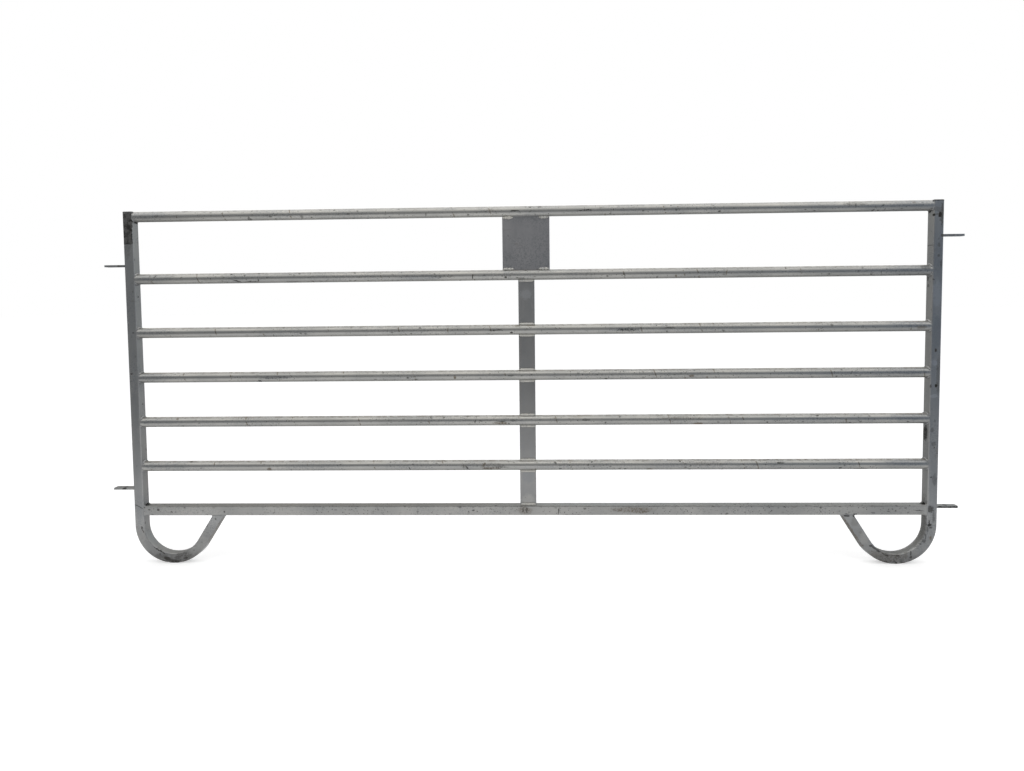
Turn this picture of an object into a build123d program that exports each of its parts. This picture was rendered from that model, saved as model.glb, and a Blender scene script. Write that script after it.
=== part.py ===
from build123d import *
import os
from math import cos, radians, sin, sqrt, tan

# Livestock rail panel: a portable yard panel welded from galvanised steel tube.
# Lengths are millimetres. X runs along the rails, Y through the panel's depth with
# the front at -Y, and Z is up. The origin is on the ground under the panel's middle.

# Square hollow tube of the two uprights and the bottom rail
box_size = 30.0
box_wall = 2.0
box_corner = 3.0

# Round tube of the six upper rails
tube_od = 31.8
tube_wall = 1.6

# Frame: length over the posts, height of the bottom rail's centre, clear gaps
frame_length = 2500.0
bottom_rail_z = 168.5
lower_gap = 109.5
second_gap = 137.0
top_gap = 162.0

# Vents for the zinc bath, notched in the ends of two rails: radius, height of the cut
vent_radius = 6.0
vent_cut = 16.0

# Skid foot: inside radius of the bend, slant of the leg from the vertical in degrees
bend_inside = 91.6
leg_slant = 32.4

# Flat bar of the brace, sheet of the name plate, chamfer of their long edges
brace_width = 50.0
brace_thickness = 6.0
plate_width = 145.0
plate_thickness = 4.0
flat_edge = 0.8

# Lugs: the right pair stands outside the left pair, so that neighbours overlap
lug_reach = 67.0
lug_depth = 20.0
lug_thickness = 6.0
lug_corner = 3.0
lug_hole = 11.0
lug_hole_reach = 32.0
left_lug_upper_z = 943.5
left_lug_lower_z = 238.5
lug_step = 62.0

# Push-in plug of a post top: head, hollow stem and the fins that grip the bore
plug_head = 3.5
plug_head_edge = 1.5
plug_stem = 16.0
plug_stem_gap = 2.0
plug_wall = 2.0
plug_fins = 3
plug_first_fin = 3.4
plug_fin_pitch = 4.5
plug_fin_thickness = 1.2
plug_fin_gap = 0.15

# Weld beads: legs on tubes and lugs, on the brace and of the plate's tacks, bulge of the
# face, lengths of a rail's side bead and a tack
bead_leg = 4.5
brace_leg = 6.0
tack_leg = 7.5
bead_bulge = 0.7
rail_side_bead = 16.0
tack_length = 32.0

# Sizes that follow from these
half_box = box_size / 2
half_tube = tube_od / 2
half_flat = half_box - box_corner
box_bore = box_size - 2 * box_wall
outer_x = frame_length / 2
post_x = outer_x - half_box
face_x = outer_x - box_size
rail_under_z = bottom_rail_z - half_box
rail_over_z = bottom_rail_z + half_box

# Rail centres from the top down, and the height of the post tops
rising_z = [rail_over_z + lower_gap + half_tube]
for gap in [lower_gap, lower_gap, lower_gap, second_gap, top_gap]:
    rising_z.append(rising_z[-1] + tube_od + gap)
rail_z = rising_z[::-1]
post_top_z = rail_z[0] + half_tube
tube_top_z = post_top_z - plug_head

# Heights of the walls that have vents: the top rail's underside, the bottom rail's top
vent_walls_z = {"top": rail_z[0] - half_tube, "bottom": rail_over_z}

os.makedirs("parts", exist_ok=True)


def save(piece, name):
    """Label one sub-part and write it to its own file."""
    piece.part.label = name
    export_step(piece.part, f"parts/{name}.step")


def box_section():
    """Wall of the square hollow tube, drawn in the open sketch."""
    RectangleRounded(box_size, box_size, box_corner)
    Rectangle(box_bore, box_bore, mode=Mode.SUBTRACT)


def flat_section(width, thickness):
    """Section of a flat with its sharp edges taken off, drawn in the open sketch."""
    outline = Rectangle(width, thickness)
    chamfer(outline.vertices(), flat_edge)


def cut_vents(*places):
    """Notch a wall of the open part where it meets the post's face."""
    with Locations(*places):
        Cylinder(vent_radius, vent_cut, mode=Mode.SUBTRACT)


def crown(corner, toe_a, toe_b):
    """Middle of a bead's face: the middle of its toes, pushed out from the corner."""
    middle = (Vector(*toe_a) + Vector(*toe_b)) / 2
    point = middle + (middle - Vector(*corner)).normalized() * bead_bulge
    return (point.X, point.Y)


def fillet_bead(plane, corner, toe_a, toe_b, half_length):
    """Weld bead in a corner of two faces, run both ways from the plane of its section."""
    with BuildPart() as run:
        with BuildSketch(plane):
            with BuildLine():
                Polyline(corner, toe_a, crown(corner, toe_a, toe_b), toe_b, close=True)
            make_face()
        extrude(amount=half_length, both=True)
    return run.part


def edge_fill(plane, corner, along, across, half_length):
    """Weld in the open half of a square tube's rounded edge, level with its two faces.

    The corner is where those faces would meet. along reaches from it to the end of the
    rounding on the butted face, and across to the end on the face that shows."""
    corner = Vector(*corner)
    along = Vector(*along)
    across = Vector(*across)
    half_turn = sin(radians(45))
    quarter_turn = radians(22.5)
    outer = corner + across
    inner = corner + along * (1 - half_turn)
    middle = inner + across * (1 - half_turn)
    between = outer + along * (1 - cos(quarter_turn)) - across * sin(quarter_turn)
    with BuildPart() as run:
        with BuildSketch(plane):
            with BuildLine():
                Polyline(middle, inner, corner, outer)
                ThreePointArc(outer, between, middle)
            make_face()
        extrude(amount=half_length, both=True)
    return run.part


def crown_bead(thickness, leg, half_length):
    """Beads before and behind a flat that stands on a round rail at the origin."""
    wall_y = -thickness / 2
    root = (wall_y, sqrt(half_tube**2 - wall_y**2))
    wall_toe = (wall_y, half_tube + leg)
    middle_y = wall_y - leg / 2
    rail_middle = (middle_y, sqrt(half_tube**2 - middle_y**2))
    toe_y = wall_y - leg
    rail_toe = (toe_y, sqrt(half_tube**2 - toe_y**2))
    with BuildPart() as run:
        with BuildSketch(Plane.YZ):
            with BuildLine():
                Polyline(root, wall_toe, crown(root, wall_toe, rail_toe), rail_toe)
                ThreePointArc(rail_toe, rail_middle, root)
            make_face()
        extrude(amount=half_length, both=True)
        mirror(run.part, about=Plane.XZ)
    return run.part


# Uprights: one bent tube makes the post, the half-round skid and the slanting leg,
# which is cut level where it meets the underside of the bottom rail.
slant = radians(leg_slant)
bend_radius = bend_inside + half_box
bend_z = bend_inside + box_size
leg_start_x = post_x - bend_radius * (1 + cos(slant))
leg_start_z = bend_z - bend_radius * sin(slant)
leg_meet_x = leg_start_x - (rail_under_z - leg_start_z) * tan(slant)
leg_run = (rail_under_z - leg_start_z) / cos(slant) + box_size

with BuildPart() as upright_right:
    with BuildLine(Plane.XZ):
        post_line = Line((post_x, tube_top_z), (post_x, bend_z))
        skid_line = JernArc(post_line @ 1, post_line % 1, bend_radius, leg_slant - 180)
        Line(skid_line @ 1, (skid_line @ 1) + (skid_line % 1) * leg_run)
    with BuildSketch(Plane((post_x, 0, tube_top_z), x_dir=(1, 0, 0), z_dir=(0, 0, -1))):
        box_section()
    sweep()
    with Locations((leg_meet_x, 0, rail_under_z + box_size)):
        Box(4 * box_size, 2 * box_size, 2 * box_size, mode=Mode.SUBTRACT)
save(upright_right, "upright_right")

with BuildPart() as upright_left:
    mirror(upright_right.part, about=Plane.YZ)
save(upright_left, "upright_left")

# Plugs: a head as wide as the tube, on a hollow stem whose fins grip the tube's bore.
# The cut corners of the head touch the middles of the tube's rounded edges.
plug_head_corner = box_corner * (2 - sqrt(2))
stem_width = box_bore - 2 * plug_stem_gap
stem_bore = stem_width - 2 * plug_wall
fin_width = box_bore - 2 * plug_fin_gap
plug_plane = Plane((post_x, 0, tube_top_z))
with BuildPart() as post_plug:
    with BuildSketch(plug_plane) as head:
        Rectangle(box_size, box_size)
        chamfer(head.vertices(), plug_head_corner)
    extrude(amount=plug_head)
    chamfer(post_plug.faces().sort_by(Axis.Z)[-1].edges(), plug_head_edge)
    with BuildSketch(plug_plane):
        Rectangle(stem_width, stem_width)
    extrude(amount=-plug_stem)
    for fin in range(plug_fins):
        with BuildSketch(plug_plane.offset(-plug_first_fin - fin * plug_fin_pitch)):
            Rectangle(fin_width, fin_width)
        extrude(amount=-plug_fin_thickness)
    with BuildSketch(plug_plane):
        Rectangle(stem_bore, stem_bore)
    extrude(amount=-plug_stem, mode=Mode.SUBTRACT)

with BuildPart() as post_plugs:
    add(post_plug.part)
    mirror(post_plug.part, about=Plane.YZ)
save(post_plugs, "post_plugs")

# Bottom rail: square tube between the posts' inner faces, with a vent at each end.
with BuildPart() as bottom_rail:
    with BuildSketch(Plane((-face_x, 0, bottom_rail_z), x_dir=(0, 1, 0), z_dir=(1, 0, 0))):
        box_section()
    extrude(amount=2 * face_x)
    cut_vents(*[(side * face_x, 0, vent_walls_z["bottom"]) for side in [-1, 1]])
save(bottom_rail, "bottom_rail")

# Six round rails, numbered from the top, cut square against the posts' inner faces.
# The top one is vented from below, at both ends.
for number, height in enumerate(rail_z, start=1):
    with BuildPart() as rail:
        with BuildSketch(Plane((-face_x, 0, height), x_dir=(0, 1, 0), z_dir=(1, 0, 0))):
            Circle(half_tube)
            Circle(half_tube - tube_wall, mode=Mode.SUBTRACT)
        extrude(amount=2 * face_x)
        if number == 1:
            cut_vents(*[(side * face_x, 0, vent_walls_z["top"]) for side in [-1, 1]])
    save(rail, f"rail_{number}")

# Name plate: a bare sheet that stands in the top gap.
with BuildPart() as name_plate:
    with BuildSketch(Plane((0, 0, rail_z[1] + half_tube))):
        flat_section(plate_width, plate_thickness)
    extrude(amount=top_gap)
save(name_plate, "name_plate")

# Brace: five lengths of flat bar, one in each gap below the plate.
gap_floors = [height + half_tube for height in rail_z[2:]] + [rail_over_z]
for number, floor_z in enumerate(gap_floors, start=1):
    with BuildPart() as brace:
        with BuildSketch(Plane((0, 0, floor_z))):
            flat_section(brace_width, brace_thickness)
        extrude(amount=second_gap if number == 1 else lower_gap)
    save(brace, f"brace_{number}")

# Lugs: level flat tabs on the outer faces of the posts, each with one pin hole.
lug_places = {
    "lug_left_upper": (-1, left_lug_upper_z),
    "lug_left_lower": (-1, left_lug_lower_z),
    "lug_right_upper": (1, left_lug_upper_z + lug_step),
    "lug_right_lower": (1, left_lug_lower_z - lug_step),
}
for name, (side, height) in lug_places.items():
    root = (side * outer_x, 0, height - lug_thickness / 2)
    with BuildPart() as lug:
        with BuildSketch(Plane(root, x_dir=(side, 0, 0))) as outline:
            with Locations((lug_reach / 2, 0)):
                Rectangle(lug_reach, lug_depth)
            chamfer(outline.vertices().group_by(Axis.X)[0 if side < 0 else -1], lug_corner)
            with Locations((lug_hole_reach, 0)):
                Circle(lug_hole / 2, mode=Mode.SUBTRACT)
        extrude(amount=lug_thickness)
    save(lug, name)

# Rail welds: a bead over and a bead under each round rail, on the flat of the post's
# face, and short beads before and behind it that fill the post's rounded edges.
with BuildPart() as rail_over_bead:
    with BuildSketch(Plane.XZ):
        with BuildLine():
            Polyline(
                (face_x, half_tube),
                (face_x - bead_leg, half_tube),
                (face_x, half_tube + bead_leg),
                close=True,
            )
        make_face()
    revolve(axis=Axis.X)
    with Locations((face_x, 0, tube_od)):
        Box(box_size, 2 * half_flat, 2 * tube_od, mode=Mode.INTERSECT)

with BuildPart() as rail_under_bead:
    mirror(rail_over_bead.part, about=Plane.XY)

with BuildPart() as rail_side_beads:
    add(
        edge_fill(
            Plane.XY,
            (face_x, -half_box),
            (0, box_corner),
            (box_corner, 0),
            rail_side_bead / 2,
        )
    )
    mirror(rail_side_beads.part, about=Plane.XZ)

# The bottom rail has the same beads, straight ones. The top rail stands level with
# the post's end, so nothing holds a bead over it. The beads stop short of the vents.
with BuildPart() as bottom_rail_beads:
    for level, turn in [(half_box, 1), (-half_box, -1)]:
        add(
            fillet_bead(
                Plane.XZ,
                (face_x, level),
                (face_x, level + turn * bead_leg),
                (face_x - bead_leg, level),
                half_flat,
            )
        )

with BuildPart() as rail_welds_right:
    with Locations(*[(0, 0, height) for height in rail_z[1:]]):
        add(rail_over_bead.part)
    with Locations(*[(0, 0, height) for height in rail_z]):
        add(rail_under_bead.part)
    with Locations(*[(0, 0, height) for height in rail_z + [bottom_rail_z]]):
        add(rail_side_beads.part)
    with Locations((0, 0, bottom_rail_z)):
        add(bottom_rail_beads.part)
    cut_vents(*[(face_x, 0, height) for height in vent_walls_z.values()])
save(rail_welds_right, "rail_welds_right")

with BuildPart() as rail_welds_left:
    mirror(rail_welds_right.part, about=Plane.YZ)
save(rail_welds_left, "rail_welds_left")

# Foot welds: a bead on each slanting side of the legs, under the bottom rail, and
# a bead along the front and the back of each joint.
foot_half = half_box / cos(slant)
leg_toe = (bead_leg * sin(slant), -bead_leg * cos(slant))
leg_beads = []
for side in [-1, 1]:
    corner = (leg_meet_x + side * foot_half, rail_under_z)
    leg_beads.append(
        fillet_bead(
            Plane.XZ,
            corner,
            (corner[0] + side * bead_leg, rail_under_z),
            (corner[0] + leg_toe[0], rail_under_z + leg_toe[1]),
            half_flat,
        )
    )
long_bead = edge_fill(
    Plane.YZ.offset(leg_meet_x),
    (-half_box, rail_under_z),
    (box_corner, 0),
    (0, box_corner),
    foot_half,
)
with BuildPart() as right_foot_welds:
    add(leg_beads)
    add(long_bead)
    mirror(long_bead, about=Plane.XZ)

with BuildPart() as foot_welds:
    add(right_foot_welds.part)
    mirror(right_foot_welds.part, about=Plane.YZ)
save(foot_welds, "foot_welds")

# Brace welds: a full-width bead on the front and the back of every flat-bar end.
brace_bead = crown_bead(brace_thickness, brace_leg, brace_width / 2 - flat_edge)
foot_bead = fillet_bead(
    Plane.YZ,
    (-brace_thickness / 2, rail_over_z),
    (-brace_thickness / 2, rail_over_z + brace_leg),
    (-brace_thickness / 2 - brace_leg, rail_over_z),
    brace_width / 2 - flat_edge,
)
with BuildPart() as hanging_brace_bead:
    mirror(brace_bead, about=Plane.XY)

with BuildPart() as brace_welds:
    with Locations(*[(0, 0, height) for height in rail_z[2:]]):
        add(brace_bead)
    with Locations(*[(0, 0, height) for height in rail_z[1:]]):
        add(hanging_brace_bead.part)
    add(foot_bead)
    mirror(foot_bead, about=Plane.XZ)
save(brace_welds, "brace_welds")

# Plate tacks: a short bead at each corner of the name plate, front and back.
tack_x = (plate_width - tack_length) / 2 - flat_edge
tack = crown_bead(plate_thickness, tack_leg, tack_length / 2)
with BuildPart() as hanging_tack:
    mirror(tack, about=Plane.XY)

with BuildPart() as plate_tack_welds:
    with Locations((-tack_x, 0, rail_z[1]), (tack_x, 0, rail_z[1])):
        add(tack)
    with Locations((-tack_x, 0, rail_z[0]), (tack_x, 0, rail_z[0])):
        add(hanging_tack.part)
save(plate_tack_welds, "plate_tack_welds")

# Lug welds: a bead above and a bead below the root of each lug.
lug_bead = fillet_bead(
    Plane.XZ,
    (outer_x, lug_thickness / 2),
    (outer_x, lug_thickness / 2 + bead_leg),
    (outer_x + bead_leg, lug_thickness / 2),
    lug_depth / 2,
)
with BuildPart() as right_lug_beads:
    add(lug_bead)
    mirror(lug_bead, about=Plane.XY)

with BuildPart() as left_lug_beads:
    mirror(right_lug_beads.part, about=Plane.YZ)

with BuildPart() as lug_welds:
    for side, height in lug_places.values():
        with Locations((0, 0, height)):
            add(right_lug_beads.part if side > 0 else left_lug_beads.part)
save(lug_welds, "lug_welds")
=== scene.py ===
import bpy
from collections import namedtuple
from math import cos, pi, radians, sin, sqrt
from types import SimpleNamespace
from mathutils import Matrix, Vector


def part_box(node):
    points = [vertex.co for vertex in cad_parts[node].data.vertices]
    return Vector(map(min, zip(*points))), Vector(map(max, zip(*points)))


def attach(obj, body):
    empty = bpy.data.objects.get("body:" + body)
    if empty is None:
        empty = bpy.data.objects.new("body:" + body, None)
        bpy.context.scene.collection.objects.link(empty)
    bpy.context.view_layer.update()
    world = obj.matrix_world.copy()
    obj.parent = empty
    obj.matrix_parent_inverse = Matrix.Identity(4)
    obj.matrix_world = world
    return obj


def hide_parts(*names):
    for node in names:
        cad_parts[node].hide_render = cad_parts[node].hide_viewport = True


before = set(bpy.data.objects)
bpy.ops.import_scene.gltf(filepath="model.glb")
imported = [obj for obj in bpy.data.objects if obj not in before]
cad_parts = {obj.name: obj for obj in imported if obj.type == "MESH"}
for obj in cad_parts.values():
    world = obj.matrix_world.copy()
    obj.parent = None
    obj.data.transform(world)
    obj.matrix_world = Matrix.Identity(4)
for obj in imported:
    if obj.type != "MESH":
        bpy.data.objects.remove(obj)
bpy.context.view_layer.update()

# Uprights: two square steel tubes, each bent in one piece into post, half-round skid and
# slanting leg. The welded panel is hot-dip galvanised, and its feet stand in the dirt.
zinc_pale = (0.74, 0.76, 0.79, 1)
zinc_light = (0.58, 0.573, 0.545, 1)
zinc_dull = (0.485, 0.485, 0.468, 1)
zinc_grey = (0.34, 0.352, 0.365, 1)
stain_brown = (0.16, 0.125, 0.085, 1)
soil_grey = (0.1, 0.097, 0.09, 1)
# Black for real grime, and also for painted shade where vents and a pin hole open and along a lug's front
# edge
grime_and_shade_black = (0.02, 0.019, 0.017, 1)
rub_colours = [zinc_grey, zinc_light, zinc_pale]
dirt_and_shade_colours = [stain_brown, soil_grey, grime_and_shade_black]


def step(tree, kind, inputs, **settings):
    """Add one node with its settings, and fill its inputs with values or links."""
    made = tree.nodes.new(kind)
    for key, value in settings.items():
        setattr(made, key, value)
    for key, value in inputs.items():
        socket = made.inputs[key]
        if isinstance(value, bpy.types.NodeSocket):
            tree.links.new(value, socket)
        else:
            socket.default_value = value
    return made


def ramp(tree, value, low, high, to_low=0.0, to_high=1.0):
    """A value's smooth rise from one level to another."""
    levels = {"Value": value, "From Min": low, "From Max": high, "To Min": to_low, "To Max": to_high}
    return step(tree, "ShaderNodeMapRange", levels, interpolation_type="SMOOTHSTEP").outputs["Result"]


def maths(tree, operation, a, b=0.0):
    """Arithmetic on one value or two."""
    return step(tree, "ShaderNodeMath", {0: a, 1: b}, operation=operation).outputs[0]


def vectors(tree, operation, **sockets):
    """Arithmetic on places and directions, with a and b as its inputs, or a and scale."""
    keys = {"a": 0, "b": 1, "scale": "Scale"}
    inputs = {keys[key]: value for key, value in sockets.items()}
    return step(tree, "ShaderNodeVectorMath", inputs, operation=operation).outputs


def times(tree, *factors):
    """The product of several values."""
    product = factors[0]
    for factor in factors[1:]:
        product = maths(tree, "MULTIPLY", product, factor)
    return product


def tint(tree, amount, below, above, blend="MIX"):
    """Lay one colour over another by an amount."""
    sockets = {0: amount, 6: below, 7: above}
    return step(tree, "ShaderNodeMix", sockets, data_type="RGBA", blend_type=blend).outputs[2]


def noise(tree, place, scale, detail=3.0, roughness=0.5, output="Fac"):
    """Cloudy noise at a place, with its scale in features to the metre."""
    sockets = {"Vector": place, "Scale": scale, "Detail": detail, "Roughness": roughness}
    return step(tree, "ShaderNodeTexNoise", sockets).outputs[output]


def stretch(tree, place, scale):
    """Coordinates drawn out along a piece."""
    return step(tree, "ShaderNodeMapping", {"Vector": place, "Scale": scale}).outputs["Vector"]


# Centre and reach are in metres, and turn is in degrees in the panel's plane
Mark = namedtuple("Mark", "centre reach turn colour strength")


def around(coat, mark):
    """Coordinates round a mark: one at its reach. It can be turned in the panel's plane."""
    tree = coat.tree
    if not mark.turn:
        offset = vectors(tree, "SUBTRACT", a=coat.torn, b=mark.centre)["Vector"]
        return vectors(tree, "DIVIDE", a=offset, b=mark.reach)["Vector"]
    turned = {
        "Vector": coat.torn,
        "Location": mark.centre,
        "Rotation": (0, radians(mark.turn), 0),
        "Scale": mark.reach,
    }
    return step(tree, "ShaderNodeMapping", turned, vector_type="TEXTURE").outputs["Vector"]


def spot(coat, mark):
    """A round or long mark, which fades out round its reach with a frayed edge."""
    outer_edge = 1.35
    inner_edge = 0.85
    away = vectors(coat.tree, "LENGTH", a=around(coat, mark))["Value"]
    away = maths(coat.tree, "ADD", away, coat.frayed)
    return ramp(coat.tree, away, outer_edge, inner_edge, 0.0, mark.strength)


def slab(coat, mark):
    """A mark with straight, sharp sides, a little thinner in places."""
    tree = coat.tree
    inner_edge = 0.94
    thinnest = 0.82
    away = vectors(tree, "ABSOLUTE", a=around(coat, mark))["Vector"]
    away = step(tree, "ShaderNodeSeparateXYZ", {"Vector": away}).outputs
    away = maths(tree, "MAXIMUM", maths(tree, "MAXIMUM", away["X"], away["Y"]), away["Z"])
    uneven = ramp(tree, coat.clods, 0.42, 0.6, mark.strength, thinnest * mark.strength)
    return times(tree, ramp(tree, away, 1.0, inner_edge), uneven)


def coat_patterns(tree):
    """The patterns that the layers of a zinc coat share."""
    place = step(tree, "ShaderNodeTexCoord", {}).outputs["Object"]
    crystals = step(tree, "ShaderNodeTexVoronoi", {"Vector": place, "Scale": 95.0}).outputs["Color"]
    patches = noise(tree, stretch(tree, place, (5, 14, 9)), scale=1.0, detail=2.0)
    blotches = ramp(tree, noise(tree, place, scale=210.0, detail=5.0, roughness=0.62), 0.47, 0.6)
    fine = noise(tree, place, scale=260.0, detail=3.0, roughness=0.6)
    clods = noise(tree, place, scale=85.0, detail=8.0, roughness=0.68)

    tear = 0.006
    fray = 1.4
    ragged = noise(tree, place, scale=120.0, output="Color")
    ragged = vectors(tree, "SUBTRACT", a=ragged, b=(0.5, 0.5, 0.5))["Vector"]
    ragged = vectors(tree, "SCALE", a=ragged, scale=tear)["Vector"]
    frayed = maths(tree, "SUBTRACT", maths(tree, "ADD", fine, clods), 1.0)
    return SimpleNamespace(
        tree=tree,
        place=place,
        across=step(tree, "ShaderNodeSeparateXYZ", {"Vector": place}).outputs,
        cloud=noise(tree, place, scale=7.0, detail=4.0),
        crystal=step(tree, "ShaderNodeSeparateColor", {"Color": crystals}).outputs[0],
        patches=ramp(tree, patches, 0.42, 0.6),
        blotches=blotches,
        fine=fine,
        clods=clods,
        torn=vectors(tree, "ADD", a=place, b=ragged)["Vector"],
        frayed=times(tree, frayed, fray),
        scuffed=ramp(tree, fine, 0.36, 0.54, 0.7, 1.0),
        grainy=ramp(tree, blotches, 0.0, 1.0, 0.5, 1.6),
    )


def bare_zinc(coat, tone, grain, mottling):
    """The colour of clean zinc: clouds, faint crystals, drawing lines and dull blotches."""
    tree = coat.tree
    deepest_line = 0.36
    deepest_crystal = 0.09
    lines = noise(tree, stretch(tree, coat.place, grain), scale=1.0, detail=4.0, roughness=0.6)
    zinc = tint(tree, ramp(tree, coat.cloud, 0.32, 0.68), zinc_dull, zinc_light)
    zinc = tint(tree, 1.0, zinc, (*tone, 1), "MULTIPLY")
    zinc = tint(tree, ramp(tree, lines, 0.42, 0.75, 0.0, deepest_line), zinc, zinc_grey)
    zinc = tint(tree, ramp(tree, coat.crystal, 0.0, 1.0, 0.0, deepest_crystal), zinc, zinc_grey)
    return tint(tree, times(tree, coat.patches, coat.blotches, mottling), zinc, zinc_grey)


def rust_on(coat):
    """Faint brown stains, longer along the panel than across it."""
    streaks = stretch(coat.tree, coat.place, (14, 40, 40))
    streaks = noise(coat.tree, streaks, scale=1.0, detail=5.0, roughness=0.6)
    return ramp(coat.tree, streaks, 0.64, 0.78, 0.0, 0.45)


def specks_on(coat, grain, share):
    """Small dark specks, a little longer along the piece, and darker where it is blotched."""
    tree = coat.tree
    along = 70.0
    across = 110.0
    largest = 0.34
    drawn_out = stretch(tree, coat.place, [along if n == min(grain) else across for n in grain])
    cells = step(tree, "ShaderNodeTexVoronoi", {"Vector": drawn_out, "Scale": 1.0}).outputs
    drawn = step(tree, "ShaderNodeSeparateColor", {"Color": cells["Color"]}).outputs
    size = ramp(tree, drawn[0], 1.0 - share, 1.0, 0.0, largest)
    size = maths(tree, "ADD", size, ramp(tree, coat.fine, 0.3, 0.7, -0.12, 0.12))
    speck = ramp(tree, maths(tree, "SUBTRACT", size, cells["Distance"]), 0.0, 0.07)
    darkness = ramp(tree, drawn[1], 0.0, 1.0, 0.3, 0.95)
    return times(tree, speck, darkness, ramp(tree, coat.patches, 0.0, 1.0, 0.3, 1.0))


def pits_on(coat, share):
    """Fine black pits, darker in some stretches than in others."""
    tree = coat.tree
    largest = 0.42
    cells = step(tree, "ShaderNodeTexVoronoi", {"Vector": coat.place, "Scale": 240.0}).outputs
    drawn = step(tree, "ShaderNodeSeparateColor", {"Color": cells["Color"]}).outputs
    size = ramp(tree, drawn[0], 1.0 - share, 1.0, 0.0, largest)
    pit = ramp(tree, maths(tree, "SUBTRACT", size, cells["Distance"]), 0.0, 0.12)
    stretches = noise(tree, coat.place, scale=4.5, detail=2.0)
    return times(tree, pit, ramp(tree, stretches, 0.4, 0.6, 0.25, 0.85))


def hairlines_on(coat, to_the_metre):
    """Fine, broken brown lines across the piece, at other places on each rail."""
    tree = coat.tree
    lean = 0.31
    along = maths(tree, "ADD", coat.across["X"], times(tree, coat.across["Z"], lean))
    ruled = {"W": along, "Scale": to_the_metre}
    ruled = step(tree, "ShaderNodeTexVoronoi", ruled, voronoi_dimensions="1D").outputs["Distance"]
    broken = ramp(tree, noise(tree, coat.place, scale=105.0, detail=1.0), 0.52, 0.57, 0.0, 0.7)
    return times(tree, ramp(tree, ruled, 0.014, 0.004), broken)


def marks_on(coat, marks):
    """Marks of one colour, scuffed through. Long ones are grainy, but soil-grey ones lie smooth."""
    grainy_from = 0.018
    cover = 0.0
    for mark in marks:
        shape = spot(coat, mark)
        if mark.reach[0] > grainy_from and mark.colour != soil_grey:
            shape = times(coat.tree, shape, coat.grainy)
        cover = maths(coat.tree, "MAXIMUM", shape, cover)
    return times(coat.tree, cover, coat.scuffed)


def dust_on(coat, height):
    """Dust that lies on the top of a piece, from a height up."""
    fade = 0.0025
    thickness = 0.42
    lying = ramp(coat.tree, coat.across["Z"], height, height + fade)
    return times(coat.tree, lying, ramp(coat.tree, coat.clods, 0.42, 0.58), thickness)


def earth_on(coat, top, splash, cake):
    """Earth on a foot's front and back, splashed up to a height and caked lower down."""
    tree = coat.tree
    face_from = 0.0128
    face_full = 0.0147
    face = ramp(tree, maths(tree, "ABSOLUTE", coat.across["Y"]), face_from, face_full)
    splashed = ramp(tree, coat.across["Z"], top, 0.6 * top, 0.0, splash)
    caked = ramp(tree, coat.across["Z"], 0.35 * top, 0.08 * top, 0.0, cake)
    earth = times(tree, face, maths(tree, "ADD", splashed, caked))
    return times(tree, earth, ramp(tree, coat.clods, 0.34, 0.58, 0.55, 1.15))


def grime_under(coat, top):
    """Black grime where a foot rubs on the ground."""
    under = ramp(coat.tree, coat.across["Z"], 0.12 * top, 0.02 * top)
    return times(coat.tree, under, ramp(coat.tree, coat.clods, 0.4, 0.6))


def layers_on(coat, square_marks, marks, dust_from, soil):
    """Each layer that lies on the zinc, from the lowest up: how far it covers, and its colour."""
    for mark in square_marks:
        yield slab(coat, mark), mark.colour
    for colour in rub_colours + dirt_and_shade_colours:
        alike = [mark for mark in marks if mark.colour == colour]
        if alike:
            yield marks_on(coat, alike), colour
    if dust_from:
        yield dust_on(coat, dust_from), stain_brown
    if soil:
        yield earth_on(coat, **soil), soil_grey
        yield grime_under(coat, soil["top"]), grime_and_shade_black


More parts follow.
